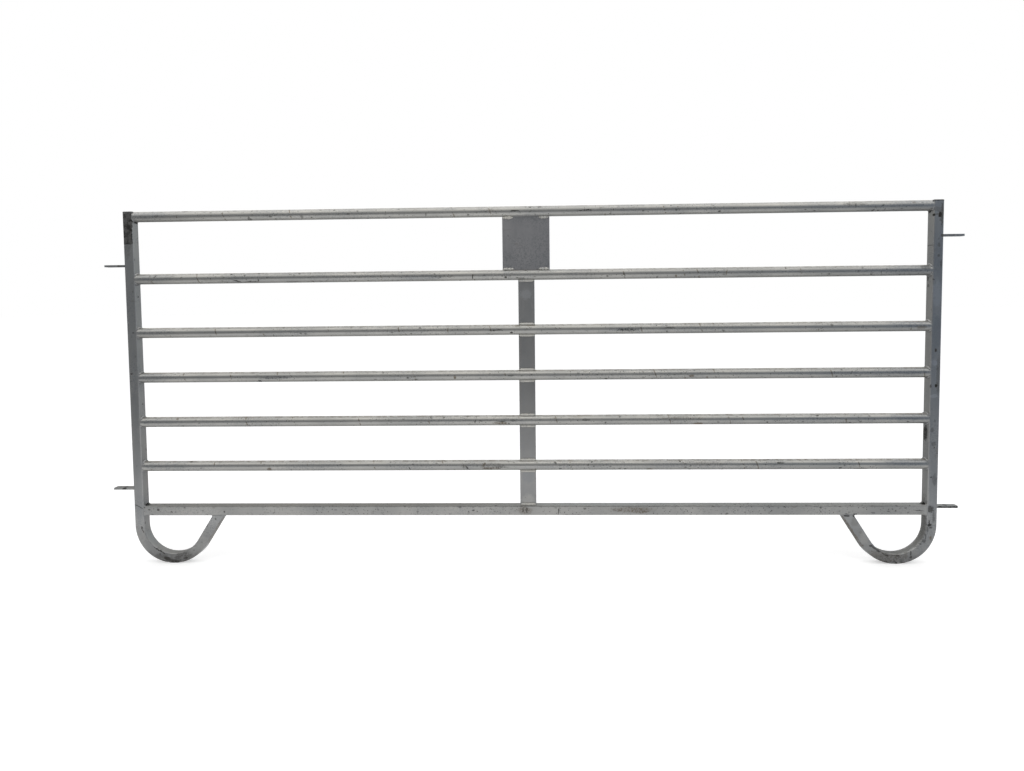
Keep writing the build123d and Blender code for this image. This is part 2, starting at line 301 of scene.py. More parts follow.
def galvanised(
    name,
    tone,
    grain,
    mottling=0.35,
    specks=0.2,
    pitting=0.0,
    hairlines=0.0,
    square_marks=(),
    marks=(),
    dust_from=0.0,
    soil=None,
    metal=0.94,
    dull=0.0,
):
    """Zinc-coated steel: cloudy, with faint crystals, drawing lines, specks, rubs and stains.

    tone is the share of the light that the piece's zinc sends back, next to the rails'. grain
    draws the lines out along the piece. mottling, specks and pitting are how much of it is
    blotched, specked and finely pitted, and hairlines is how many lines cross a metre of it.
    A mark's strength over one gives it a harder edge, and square_marks have straight sides.
    Dust lies on the piece from dust_from up. soil has the top of the earth on its faces, and
    how thick the splashes and the cake are. metal is how metallic the coat is, and dull adds
    to its roughness."""
    material = bpy.data.materials.new(name)
    material.use_nodes = True
    tree = material.node_tree
    coat = coat_patterns(tree)
    zinc = bare_zinc(coat, tone, grain, mottling)
    rust = rust_on(coat)
    zinc = tint(tree, rust, zinc, stain_brown)
    dirt_and_shade = specks_on(coat, grain, specks)
    zinc = tint(tree, dirt_and_shade, zinc, grime_and_shade_black)
    if pitting:
        zinc = tint(tree, pits_on(coat, pitting), zinc, grime_and_shade_black)
    if hairlines:
        zinc = tint(tree, hairlines_on(coat, hairlines), zinc, stain_brown)
    # Painted shade marks count with the dirt here: they darken, dull and roughen the coat alike
    for cover, colour in layers_on(coat, square_marks, marks, dust_from, soil):
        zinc = tint(tree, cover, zinc, colour)
        if colour in dirt_and_shade_colours:
            dirt_and_shade = maths(tree, "MAXIMUM", dirt_and_shade, cover)

    crystal_roughness = 0.03
    dirt_roughness = 0.3
    dirty_metal = 0.35 * metal
    rough = ramp(tree, coat.cloud, 0.3, 0.7, 0.36 + dull, 0.31 + dull)
    rough = maths(tree, "ADD", rough, times(tree, coat.crystal, crystal_roughness))
    rough = maths(tree, "ADD", rough, times(tree, maths(tree, "ADD", dirt_and_shade, rust), dirt_roughness))
    dimples = noise(tree, coat.place, scale=38.0, detail=2.0)
    relief = maths(tree, "ADD", times(tree, coat.fine, 0.35), times(tree, dimples, 0.65))
    bump = step(tree, "ShaderNodeBump", {"Height": relief, "Distance": 0.0006, "Strength": 0.2})
    shader = tree.nodes["Principled BSDF"]
    tree.links.new(zinc, shader.inputs["Base Color"])
    tree.links.new(rough, shader.inputs["Roughness"])
    tree.links.new(ramp(tree, dirt_and_shade, 0.4, 1.0, metal, dirty_metal), shader.inputs["Metallic"])
    tree.links.new(bump.outputs["Normal"], shader.inputs["Normal"])
    return material


def finish_with(material, *nodes):
    """Put a material on pieces of the frame."""
    for node in nodes:
        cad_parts[node].material_slots[0].material = material


front = -0.015
inner_face = 1.22
leg_slant = 32.4
mark_depth = 0.006


def front_mark(along, height, half_length, half_height, turn, colour, strength):
    """A mark on the front face of a square tube."""
    return Mark((along, front, height), (half_length, mark_depth, half_height), turn, colour, strength)


def inner_mark(side, depth, height, half_depth, half_height, strength):
    """A black mark on the face of a post that the rails meet."""
    reach = (0.004, half_depth, half_height)
    return Mark((side * inner_face, depth, height), reach, 0, grime_and_shade_black, strength)


def leg_edge(side, half_height, strength):
    """The brown outer edge of a slanting leg."""
    reach = (0.062, 0.03, half_height)
    edge_middle = (side * 0.9936, 0.0, 0.1036)
    return Mark(edge_middle, reach, side * (90 - leg_slant), stain_brown, strength)


left_post_marks = [
    front_mark(-1.239, 0.9905, 0.009, 0.02, 0, grime_and_shade_black, 0.35),
    front_mark(-1.2335, 1.005, 0.009, 0.011, 0, grime_and_shade_black, 0.35),
    front_mark(-1.231, 0.7345, 0.004, 0.0025, 0, grime_and_shade_black, 0.5),
    front_mark(-1.241, 0.605, 0.003, 0.003, 0, grime_and_shade_black, 0.6),
    front_mark(-1.235, 0.49, 0.013, 0.06, 0, zinc_grey, 0.6),
    front_mark(-1.235, 0.29, 0.014, 0.13, 0, zinc_grey, 0.55),
    front_mark(-1.2345, 0.1822, 0.0125, 0.0014, 31, grime_and_shade_black, 0.6),
    front_mark(-1.2278, 0.1135, 0.002, 0.0056, 0, grime_and_shade_black, 0.8),
    front_mark(-1.2252, 0.1035, 0.0016, 0.006, -30, grime_and_shade_black, 0.9),
]
left_foot_marks = [
    front_mark(-1.149, 0.014, 0.0105, 0.0052, 20, grime_and_shade_black, 1.3),
    front_mark(-1.095, 0.0268, 0.0225, 0.0127, 0, grime_and_shade_black, 0.45),
    front_mark(-1.0892, 0.0169, 0.0055, 0.0024, -8, grime_and_shade_black, 1.2),
    front_mark(-1.1173, 0.0181, 0.0075, 0.0048, 0, grime_and_shade_black, 0.55),
    front_mark(-1.1738, 0.0402, 0.0205, 0.0017, 31, grime_and_shade_black, 1.1),
    front_mark(-1.1672, 0.0241, 0.0156, 0.0073, 0, grime_and_shade_black, 0.3),
    front_mark(-1.1342, 0.0085, 0.0125, 0.0045, 0, grime_and_shade_black, 0.75),
    front_mark(-1.063, 0.0425, 0.0028, 0.0028, 0, grime_and_shade_black, 0.35),
    front_mark(-0.9905, 0.142, 0.003, 0.003, 0, grime_and_shade_black, 0.7),
]
right_post_marks = [
    front_mark(1.2385, 1.0662, 0.0046, 0.0074, 0, grime_and_shade_black, 1.5),
    front_mark(1.2205, 1.0653, 0.0034, 0.004, 0, grime_and_shade_black, 1.3),
    front_mark(1.2272, 1.0677, 0.0096, 0.0022, 0, grime_and_shade_black, 0.55),
    front_mark(1.231, 1.0815, 0.0125, 0.007, 30, grime_and_shade_black, 0.35),
    front_mark(1.2437, 1.0657, 0.0034, 0.03, 0, grime_and_shade_black, 0.8),
    front_mark(1.2401, 1.051, 0.0038, 0.0046, 0, grime_and_shade_black, 0.5),
    front_mark(1.2463, 1.0033, 0.0045, 0.0035, 0, grime_and_shade_black, 0.9),
    front_mark(1.2366, 0.9766, 0.0042, 0.006, 0, grime_and_shade_black, 0.4),
    front_mark(1.2362, 0.9448, 0.004, 0.0042, 0, grime_and_shade_black, 0.35),
    front_mark(1.244, 0.9187, 0.0025, 0.012, 0, grime_and_shade_black, 0.5),
    front_mark(1.2231, 0.873, 0.0022, 0.0026, 0, grime_and_shade_black, 0.6),
    inner_mark(1, 0.008, 0.8802, 0.007, 0.0095, 0.6),
    inner_mark(1, 0.0, 0.9761, 0.02, 0.0016, 0.45),
    front_mark(1.2292, 0.1719, 0.0095, 0.0095, 0, grime_and_shade_black, 0.8),
    front_mark(1.2445, 0.965, 0.007, 0.12, 0, zinc_grey, 0.7),
    front_mark(1.236, 0.935, 0.011, 0.05, 0, zinc_grey, 0.7),
    front_mark(1.234, 0.83, 0.012, 0.035, 0, zinc_pale, 0.28),
    front_mark(1.236, 0.71, 0.012, 0.045, 0, zinc_grey, 0.7),
    front_mark(1.2435, 0.585, 0.006, 0.05, 0, grime_and_shade_black, 0.35),
    front_mark(1.236, 0.235, 0.012, 0.08, 0, zinc_grey, 0.65),
    front_mark(1.2395, 0.262, 0.006, 0.016, 0, grime_and_shade_black, 0.35),
    front_mark(1.234, 0.66, 0.0032, 0.005, 0, grime_and_shade_black, 0.95),
    front_mark(1.2425, 0.604, 0.004, 0.006, 0, grime_and_shade_black, 0.5),
    front_mark(1.231, 0.622, 0.009, 0.009, 0, zinc_pale, 0.3),
    front_mark(1.2375, 0.5515, 0.003, 0.004, 0, grime_and_shade_black, 1.2),
    front_mark(1.2408, 0.557, 0.0015, 0.006, 0, grime_and_shade_black, 0.8),
    front_mark(1.2225, 0.551, 0.0018, 0.006, 0, grime_and_shade_black, 0.8),
    front_mark(1.2315, 0.52, 0.011, 0.005, 0, zinc_pale, 0.35),
    front_mark(1.229, 0.416, 0.004, 0.007, 0, grime_and_shade_black, 0.4),
    front_mark(1.2345, 0.374, 0.007, 0.006, 0, grime_and_shade_black, 0.4),
    front_mark(1.229, 0.2705, 0.0026, 0.0026, 0, grime_and_shade_black, 0.7),
    inner_mark(1, 0.002, 0.405, 0.008, 0.022, 1.0),
    inner_mark(1, 0.004, 0.854, 0.005, 0.005, 0.5),
    front_mark(1.228, 0.1223, 0.0052, 0.0036, 0, grime_and_shade_black, 1.0),
    front_mark(1.2266, 0.1311, 0.0017, 0.0064, 0, grime_and_shade_black, 1.0),
    front_mark(1.2315, 0.1144, 0.0038, 0.003, 0, grime_and_shade_black, 0.7),
    front_mark(1.2223, 0.1098, 0.0022, 0.0106, 0, grime_and_shade_black, 0.45),
    front_mark(1.2395, 0.1455, 0.0036, 0.0141, 0, grime_and_shade_black, 0.4),
]
right_foot_marks = [
    front_mark(1.215, 0.085, 0.022, 0.065, 0, zinc_grey, 0.6),
    front_mark(1.2166, 0.0866, 0.0022, 0.0095, 0, grime_and_shade_black, 0.5),
    front_mark(1.2126, 0.0724, 0.0044, 0.0055, 0, grime_and_shade_black, 0.55),
    front_mark(1.2017, 0.0633, 0.0028, 0.0028, 0, grime_and_shade_black, 0.5),
    front_mark(1.2318, 0.0815, 0.003, 0.0046, 0, stain_brown, 0.7),
    front_mark(1.1725, 0.0344, 0.0023, 0.0064, 0, grime_and_shade_black, 0.65),
    front_mark(1.1742, 0.022, 0.0038, 0.0038, 0, grime_and_shade_black, 0.8),
    front_mark(1.1581, 0.0289, 0.0051, 0.0106, 0, stain_brown, 0.35),
    front_mark(1.1336, 0.0267, 0.0047, 0.0024, 0, grime_and_shade_black, 0.85),
    front_mark(1.1192, 0.0274, 0.0068, 0.0018, 0, grime_and_shade_black, 0.4),
    front_mark(1.1005, 0.0271, 0.0048, 0.0024, 0, grime_and_shade_black, 0.8),
    front_mark(1.092, 0.0315, 0.0064, 0.0019, 25, grime_and_shade_black, 0.6),
    front_mark(1.051, 0.0577, 0.0047, 0.0029, 0, grime_and_shade_black, 0.8),
    front_mark(1.063, 0.0507, 0.0088, 0.0026, 35, grime_and_shade_black, 0.7),
    front_mark(1.0732, 0.0419, 0.0078, 0.003, 30, grime_and_shade_black, 0.8),
    front_mark(1.0271, 0.0583, 0.0038, 0.003, 0, stain_brown, 0.6),
    front_mark(1.0716, 0.0276, 0.0137, 0.007, 0, stain_brown, 0.35),
    front_mark(1.09, 0.025, 0.06, 0.018, 0, stain_brown, 0.38),
    front_mark(1.032, 0.085, 0.012, 0.02, 0, zinc_light, 0.5),
    front_mark(1.003, 0.132, 0.012, 0.011, 0, stain_brown, 0.2),
    front_mark(0.978, 0.1515, 0.008, 0.003, 0, grime_and_shade_black, 0.9),
    front_mark(1.003, 0.151, 0.006, 0.0042, 0, grime_and_shade_black, 1.0),
]
# A heavy soil-grey darkening over the whole inside of the right bend
inside_right_bend = Mark((1.1284, 0, 0.1216), (0.115, 0.0135, 0.115), 0, soil_grey, 0.68)
black_patch = Mark((-1.236, front, 1.0582), (0.0157, 0.004, 0.0497), 0, grime_and_shade_black, 1.0)
left_marks = left_post_marks + left_foot_marks + [leg_edge(-1, 0.0035, 0.45)]
right_marks = right_post_marks + right_foot_marks + [leg_edge(1, 0.0042, 0.75), inside_right_bend]
left_soil = {"top": 0.14, "splash": 0.2, "cake": 0.4}
right_soil = {"top": 0.14, "splash": 0.07, "cake": 0.36}
for node, side, marks, square_marks, soil in [
    ("upright_left", -1, left_marks, [black_patch], left_soil),
    ("upright_right", 1, right_marks, [], right_soil),
]:
    # Painted shade of the vents: a black mark on each post's inner face, just under the top rail's end and
    # just above the bottom rail's end
    vent_shade_half_depth = 0.012
    vent_shade = [
        inner_mark(side, 0.007, 1.08, vent_shade_half_depth, 0.0055, 1.0),
        inner_mark(side, 0.004, 0.1845, vent_shade_half_depth, 0.0025, 1.0),
    ]
    upright_zinc = galvanised(
        f"galvanised {node}",
        tone=(0.86, 0.87, 0.9),
        grain=(55, 55, 2.2),
        mottling=0.9,
        specks=0.22,
        square_marks=square_marks,
        marks=marks + vent_shade,
        soil=soil,
    )
    finish_with(upright_zinc, node)

# Post plugs: black moulded plastic, pushed into the open tops of the posts to keep the rain
# out. Weather has greyed them.
plug_black = (0.018, 0.018, 0.019, 1)
plug_dust = (0.06, 0.056, 0.05, 1)
plug_plastic = bpy.data.materials.new("weathered black plastic")
plug_plastic.use_nodes = True
tree = plug_plastic.node_tree
place = step(tree, "ShaderNodeTexCoord", {}).outputs["Object"]
dust = ramp(tree, noise(tree, place, scale=90.0, detail=5.0, roughness=0.6), 0.45, 0.7)
plastic = tint(tree, dust, plug_black, plug_dust)
moulded = {"Height": noise(tree, place, scale=900.0), "Distance": 0.0002, "Strength": 0.3}
moulded = step(tree, "ShaderNodeBump", moulded).outputs["Normal"]
shader = tree.nodes["Principled BSDF"]
tree.links.new(plastic, shader.inputs["Base Color"])
tree.links.new(ramp(tree, dust, 0.0, 1.0, 0.42, 0.7), shader.inputs["Roughness"])
tree.links.new(moulded, shader.inputs["Normal"])
finish_with(plug_plastic, "post_plugs")

# Bottom rail: a length of the same square tube, cut square and welded between the posts. Its
# front is rubbed and pitted, and dirt lies along its upper edge.
sill_low, sill_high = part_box("bottom_rail")
bottom_marks = [
    front_mark(-0.01, 0.169, 0.019, 0.011, 0, stain_brown, 0.5),
    front_mark(-0.017, 0.17, 0.002, 0.008, 0, grime_and_shade_black, 0.6),
    front_mark(-0.006, 0.169, 0.0024, 0.009, 0, grime_and_shade_black, 0.6),
    front_mark(0.32, 0.171, 0.06, 0.0075, 0, stain_brown, 0.45),
    front_mark(0.345, 0.168, 0.028, 0.008, 0, stain_brown, 0.6),
    front_mark(0.135, 0.1555, 0.03, 0.0016, 0, grime_and_shade_black, 0.5),
    front_mark(0.094, 0.167, 0.0015, 0.011, 10, grime_and_shade_black, 0.8),
    front_mark(0.175, 0.175, 0.004, 0.003, 0, grime_and_shade_black, 0.6),
    front_mark(-1.1735, 0.172, 0.0036, 0.0036, 0, grime_and_shade_black, 0.7),
    front_mark(-0.9606, 0.1657, 0.0025, 0.003, 0, grime_and_shade_black, 0.7),
    front_mark(1.1948, 0.1675, 0.0145, 0.0015, 4, grime_and_shade_black, 0.6),
    front_mark(1.1029, 0.1649, 0.0038, 0.002, 0, grime_and_shade_black, 0.6),
    front_mark(1.1028, 0.1715, 0.0022, 0.0022, 0, grime_and_shade_black, 0.6),
    front_mark(1.1147, 0.1716, 0.0022, 0.0022, 0, grime_and_shade_black, 0.5),
    front_mark(1.124, 0.1664, 0.0022, 0.0022, 0, grime_and_shade_black, 0.5),
    front_mark(1.0571, 0.1613, 0.0056, 0.002, 20, grime_and_shade_black, 0.55),
    front_mark(1.1621, 0.1615, 0.0024, 0.0024, 0, grime_and_shade_black, 0.5),
    front_mark(0.978, 0.1555, 0.006, 0.0022, 0, grime_and_shade_black, 0.85),
    front_mark(1.003, 0.1555, 0.005, 0.003, 0, grime_and_shade_black, 1.0),
]
# Painted shade of the vents: a black spot on the top face at each end of the bottom rail
vent_in = 0.003
vent_reach = (0.009, 0.009, 0.003)
for side in [-1, 1]:
    vent = (side * (sill_high.x - vent_in), 0.0, sill_high.z)
    bottom_marks.append(Mark(vent, vent_reach, 0, grime_and_shade_black, 0.9))
edge_in = 0.001
edge_reach = (sill_high.x, 0.0018, 0.0018)
edge_dirt = Mark((0, front + edge_in, sill_high.z - edge_in), edge_reach, 0, grime_and_shade_black, 0.4)
bottom_zinc = galvanised(
    "galvanised bottom rail",
    tone=(0.895, 0.895, 0.905),
    grain=(2.2, 55, 55),
    mottling=0.5,
    specks=0.6,
    pitting=0.6,
    square_marks=[edge_dirt],
    marks=bottom_marks,
)
finish_with(bottom_zinc, "bottom_rail")

# Rails: six lengths of round tube, drawn and galvanised, welded between the posts. Stock and
# handling leave specks, drips, scratches and fine lines round them.
rail_low, rail_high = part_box("rail_2")
tube_radius = (rail_high.y - rail_low.y) / 2


def rail_mark(middle, along, up, half_length, half_height, turn, colour, strength):
    """A mark on a rail's front, placed along the rail and up from its middle."""
    out = -sqrt(max(tube_radius**2 - up**2, 0.0))
    reach = (half_length, mark_depth, half_height)
    return Mark((along, out, middle + up), reach, turn, colour, strength)


rail_marks = {
    1: [
        (-0.689, -0.0085, 0.0042, 0.0042, 0, grime_and_shade_black, 0.45),
        (-0.852, -0.0129, 0.007, 0.003, 0, grime_and_shade_black, 0.6),
        (-0.854, -0.0079, 0.0026, 0.0022, 0, grime_and_shade_black, 0.6),
        (-0.7865, -0.0019, 0.022, 0.0022, 0, grime_and_shade_black, 0.35),
        (-1.143, 0.0, 0.007, 0.004, 0, grime_and_shade_black, 0.35),
        (-1.055, 0.0135, 0.01, 0.0016, 0, grime_and_shade_black, 0.6),
        (-0.9, 0.014, 0.006, 0.0015, 0, grime_and_shade_black, 0.6),
        (-0.235, 0.009, 0.02, 0.003, 0, zinc_grey, 0.8),
        (-0.306, -0.0073, 0.0014, 0.005, 0, grime_and_shade_black, 0.6),
        (-0.176, -0.0089, 0.003, 0.0026, 0, grime_and_shade_black, 0.6),
        (-0.0346, 0.0, 0.014, 0.002, 0, grime_and_shade_black, 1.1),
        (0.178, -0.0009, 0.02, 0.0018, 0, grime_and_shade_black, 1.1),
        (0.985, 0.006, 0.03, 0.007, 0, grime_and_shade_black, 0.42),
        (1.043, -0.0133, 0.0036, 0.0028, 0, grime_and_shade_black, 0.85),
        (1.077, -0.0114, 0.0014, 0.004, 0, grime_and_shade_black, 0.5),
        (1.161, 0.0087, 0.005, 0.003, 0, stain_brown, 0.45),
    ],
    2: [
        (-1.155, 0.0069, 0.0055, 0.0018, -45, grime_and_shade_black, 0.6),
        (-1.071, 0.0039, 0.003, 0.0024, 0, grime_and_shade_black, 0.5),
        (-0.938, 0.0025, 0.003, 0.0024, 0, grime_and_shade_black, 0.5),
        (-0.898, -0.0092, 0.012, 0.0016, 14, grime_and_shade_black, 0.9),
        (-0.848, -0.0112, 0.02, 0.0014, 0, grime_and_shade_black, 0.9),
        (-0.83, -0.0085, 0.0014, 0.0036, 0, grime_and_shade_black, 0.9),
        (-0.7245, -0.0136, 0.02, 0.0016, 0, grime_and_shade_black, 0.55),
        (-0.32, -0.005, 0.06, 0.006, 0, zinc_grey, 0.8),
        (-0.255, -0.002, 0.03, 0.0035, 0, grime_and_shade_black, 0.4),
        (-0.165, -0.0055, 0.0016, 0.006, 0, grime_and_shade_black, 1.0),
        (0.3, -0.0075, 0.0012, 0.004, 0, grime_and_shade_black, 0.8),
        (0.247, -0.0065, 0.003, 0.002, 0, grime_and_shade_black, 0.7),
        (0.455, -0.009, 0.0028, 0.003, 0, stain_brown, 0.8),
        (0.607, 0.002, 0.0014, 0.011, 12, stain_brown, 0.8),
        (-0.282, 0.0053, 0.0032, 0.0024, 0, grime_and_shade_black, 0.5),
        (-0.203, -0.0155, 0.003, 0.003, 0, grime_and_shade_black, 0.7),
        (-0.0629, -0.0073, 0.0036, 0.003, 0, grime_and_shade_black, 1.1),
        (-0.0278, -0.0086, 0.004, 0.0022, 0, grime_and_shade_black, 0.7),
        (-0.0149, -0.0109, 0.0105, 0.0028, 0, grime_and_shade_black, 0.4),
        (-0.0472, 0.0086, 0.03, 0.005, 0, zinc_grey, 0.7),
        (0.914, -0.0081, 0.003, 0.0022, 0, grime_and_shade_black, 0.5),
        (1.069, -0.0046, 0.0014, 0.0045, 0, grime_and_shade_black, 0.5),
        (1.2, 0.0085, 0.015, 0.006, 0, grime_and_shade_black, 0.42),
    ],
    3: [
        (0.0114, 0.0134, 0.013, 0.003, 0, stain_brown, 0.6),
        (-0.0304, 0.0126, 0.008, 0.003, 0, stain_brown, 0.45),
        (-0.0464, -0.008, 0.004, 0.0026, 0, grime_and_shade_black, 1.1),
        (0.308, -0.002, 0.04, 0.005, 0, zinc_grey, 0.9),
        (0.308, -0.0035, 0.03, 0.004, 0, grime_and_shade_black, 0.6),
        (0.435, 0.0025, 0.016, 0.0018, 0, grime_and_shade_black, 0.8),
        (-0.094, 0.0, 0.02, 0.002, 0, grime_and_shade_black, 0.8),
        (-0.243, 0.002, 0.0018, 0.008, 0, stain_brown, 0.8),
        (0.924, 0.006, 0.0045, 0.004, 40, grime_and_shade_black, 0.5),
        (1.19, -0.003, 0.013, 0.005, 0, stain_brown, 0.5),
    ],
    4: [
        (-0.787, -0.0005, 0.045, 0.0045, 0, zinc_grey, 0.9),
        (-0.79, -0.001, 0.04, 0.004, 0, grime_and_shade_black, 0.3),
        (-0.836, -0.012, 0.0044, 0.0032, 0, grime_and_shade_black, 1.3),
        (-0.0513, 0.0005, 0.008, 0.0022, 0, grime_and_shade_black, 0.5),
        (-0.224, -0.004, 0.0032, 0.006, 0, stain_brown, 0.85),
        (-0.37, -0.0045, 0.003, 0.002, 0, grime_and_shade_black, 0.8),
        (-0.447, 0.0105, 0.0028, 0.002, 0, grime_and_shade_black, 0.7),
        (0.243, -0.0115, 0.004, 0.0022, 20, grime_and_shade_black, 0.8),
        (0.484, -0.011, 0.0036, 0.0028, 0, stain_brown, 0.85),
        (0.503, -0.004, 0.006, 0.0036, 0, stain_brown, 0.75),
        (0.551, -0.0095, 0.003, 0.003, 0, stain_brown, 0.8),
    ],
    5: [
        (-0.045, 0.0017, 0.009, 0.003, 0, grime_and_shade_black, 0.45),
        (-0.085, -0.006, 0.02, 0.0036, 0, stain_brown, 0.95),
        (-0.08, -0.001, 0.012, 0.002, 0, grime_and_shade_black, 0.8),
        (-0.163, -0.001, 0.0016, 0.0045, 20, grime_and_shade_black, 0.8),
        (0.18, 0.003, 0.013, 0.003, 0, grime_and_shade_black, 0.7),
        (0.24, -0.006, 0.0026, 0.0036, 20, grime_and_shade_black, 0.8),
        (0.524, -0.0115, 0.013, 0.0034, 0, stain_brown, 0.95),
        (0.49, 0.006, 0.045, 0.005, 0, stain_brown, 0.22),
        (0.733, -0.0075, 0.003, 0.0022, 0, grime_and_shade_black, 0.8),
        (0.973, -0.0115, 0.034, 0.0015, 0, grime_and_shade_black, 0.65),
        (-1.1013, 0.0115, 0.0042, 0.003, 0, stain_brown, 0.7),
    ],
    6: [
        (-0.8135, -0.0078, 0.0068, 0.0058, 0, stain_brown, 0.85),
        (-0.37, -0.006, 0.0014, 0.0045, -20, grime_and_shade_black, 0.85),
        (-0.19, -0.004, 0.0022, 0.007, -30, grime_and_shade_black, 0.75),
        (-0.137, 0.004, 0.003, 0.007, 35, stain_brown, 0.8),
        (-0.115, -0.007, 0.024, 0.0034, 0, stain_brown, 0.6),
        (-0.11, 0.0, 0.035, 0.01, 0, grime_and_shade_black, 0.3),
        (-0.085, -0.003, 0.02, 0.0024, 0, grime_and_shade_black, 0.5),
        (0.203, -0.001, 0.0026, 0.0024, 0, grime_and_shade_black, 0.8),
        (0.376, -0.0115, 0.009, 0.0028, 0, stain_brown, 0.9),
        (0.555, 0.006, 0.055, 0.005, 0, stain_brown, 0.22),
        (0.776, 0.0075, 0.01, 0.0028, 0, grime_and_shade_black, 0.5),
        (1.02, -0.0115, 0.018, 0.0015, 0, grime_and_shade_black, 0.65),
        (-1.066, 0.0146, 0.004, 0.003, 0, grime_and_shade_black, 0.6),
    ],
}
dust_share = 0.75
dull_ends = [
    (-1.165, 0.005, 0.055, 0.011, 0, zinc_grey, 0.55),
    (1.165, 0.009, 0.06, 0.011, 0, zinc_grey, 1.0),
]
for number, marks in rail_marks.items():
    low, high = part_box(f"rail_{number}")
    middle = (low.z + high.z) / 2
    rail_zinc = galvanised(
        f"galvanised rail {number}",
        tone=(1.0, 1.0, 1.0),
        grain=(2.0, 90, 90),
        mottling=0.65,
        specks=0.5,
        pitting=0.3,
        hairlines=5.0,
        marks=[rail_mark(middle, *mark) for mark in marks + dull_ends],
        dust_from=middle + dust_share * tube_radius,
    )
    finish_with(rail_zinc, f"rail_{number}")

# Rail and leg welds: MIG beads round each tube end, galvanised over, with a gap at each vent.
# They stand in the corner on the flat of the post or bottom rail, and sink into the groove
# along its rounded edges, in front and behind.
def bead_tree():
    """Geometry nodes that lay a rippled, uneven bead along every seam of a mesh of edges."""
    tree = bpy.data.node_groups.new("weld bead along seams", "GeometryNodeTree")
    tree.interface.new_socket("Beads", in_out="OUTPUT", socket_type="NodeSocketGeometry")
    tree.interface.new_socket("Seams", in_out="INPUT", socket_type="NodeSocketGeometry")
    for name in ["Step", "Ripple Pitch", "Ripple Depth", "Unevenness", "Seed"]:
        tree.interface.new_socket(name, in_out="INPUT", socket_type="NodeSocketFloat")
    tree.interface.new_socket("Sides", in_out="INPUT", socket_type="NodeSocketInt")
    tree.interface.new_socket("Zinc", in_out="INPUT", socket_type="NodeSocketMaterial")
    given = step(tree, "NodeGroupInput", {}).outputs

    path = step(tree, "GeometryNodeMeshToCurve", {"Mesh": given["Seams"]}).outputs[0]
    evenly = {"Curve": path, "Length": given["Step"]}
    path = step(tree, "GeometryNodeResampleCurve", evenly, mode="LENGTH").outputs[0]
    run = step(tree, "GeometryNodeSplineParameter", {}).outputs["Length"]
    whole = step(tree, "GeometryNodeSplineLength", {}).outputs["Length"]
    loop = step(tree, "GeometryNodeInputSplineCyclic", {}).outputs[0]
    named = {"Name": "bead_size"}
    size = step(tree, "GeometryNodeInputNamedAttribute", named, data_type="FLOAT").outputs[0]
    place = step(tree, "GeometryNodeInputPosition", {}).outputs[0]

    swells_to_the_metre = 130.0
    ripple_drift = 2.5
    drift = {"Vector": place, "W": given["Seed"], "Scale": swells_to_the_metre}
    sway = step(tree, "ShaderNodeTexNoise", drift, noise_dimensions="4D").outputs["Fac"]
    uneven = maths(tree, "SUBTRACT", sway, 0.5)
    phase = maths(tree, "DIVIDE", run, given["Ripple Pitch"])
    phase = maths(tree, "ADD", phase, times(tree, uneven, ripple_drift))
    lump = maths(tree, "SQRT", maths(tree, "ABSOLUTE", maths(tree, "SINE", times(tree, phase, pi))))
    dip = maths(tree, "SUBTRACT", 1.0, lump)
    ripple = maths(tree, "SUBTRACT", 1.0, times(tree, given["Ripple Depth"], dip))
    end_length = 1.6
    end_least = 0.04
    to_end = maths(tree, "MINIMUM", run, maths(tree, "SUBTRACT", whole, run))
    rounding = maths(tree, "MINIMUM", maths(tree, "DIVIDE", to_end, times(tree, size, end_length)), 1.0)
    rounding = maths(tree, "SQRT", maths(tree, "MAXIMUM", rounding, end_least))
    rounding = maths(tree, "MAXIMUM", rounding, loop)
    swell = maths(tree, "ADD", 1.0, times(tree, uneven, given["Unevenness"], 2.0))
    thick = times(tree, size, ripple, rounding, swell)

    round_bead = {"Resolution": given["Sides"], "Radius": 1.0}
    ring = step(tree, "GeometryNodeCurvePrimitiveCircle", round_bead).outputs[0]
    sockets = {"Curve": path, "Profile Curve": ring, "Scale": thick, "Fill Caps": True}
    bead = step(tree, "GeometryNodeCurveToMesh", sockets).outputs[0]
    pit_depth = 0.0012
    pits = noise(tree, place, scale=420.0, detail=1.0, output="Color")
    pits = vectors(tree, "SUBTRACT", a=pits, b=(0.5, 0.5, 0.5))["Vector"]
    pits = vectors(tree, "SCALE", a=pits, scale=pit_depth)["Vector"]
    bead = step(tree, "GeometryNodeSetPosition", {"Geometry": bead, "Offset": pits}).outputs[0]
    bead = step(tree, "GeometryNodeSetShadeSmooth", {"Geometry": bead}).outputs[0]
    bead = step(tree, "GeometryNodeRealizeInstances", {"Geometry": bead}).outputs[0]
    bead = step(tree, "GeometryNodeSetMaterial", {"Geometry": bead, "Material": given["Zinc"]}).outputs[0]
    step(tree, "NodeGroupOutput", {"Beads": bead})
    return tree


bead_nodes = bead_tree()
tube_bead_zinc = galvanised(
    "zinc over a tube's weld",
    tone=(0.8, 0.81, 0.85),
    grain=(40, 40, 40),
    mottling=0.6,
)


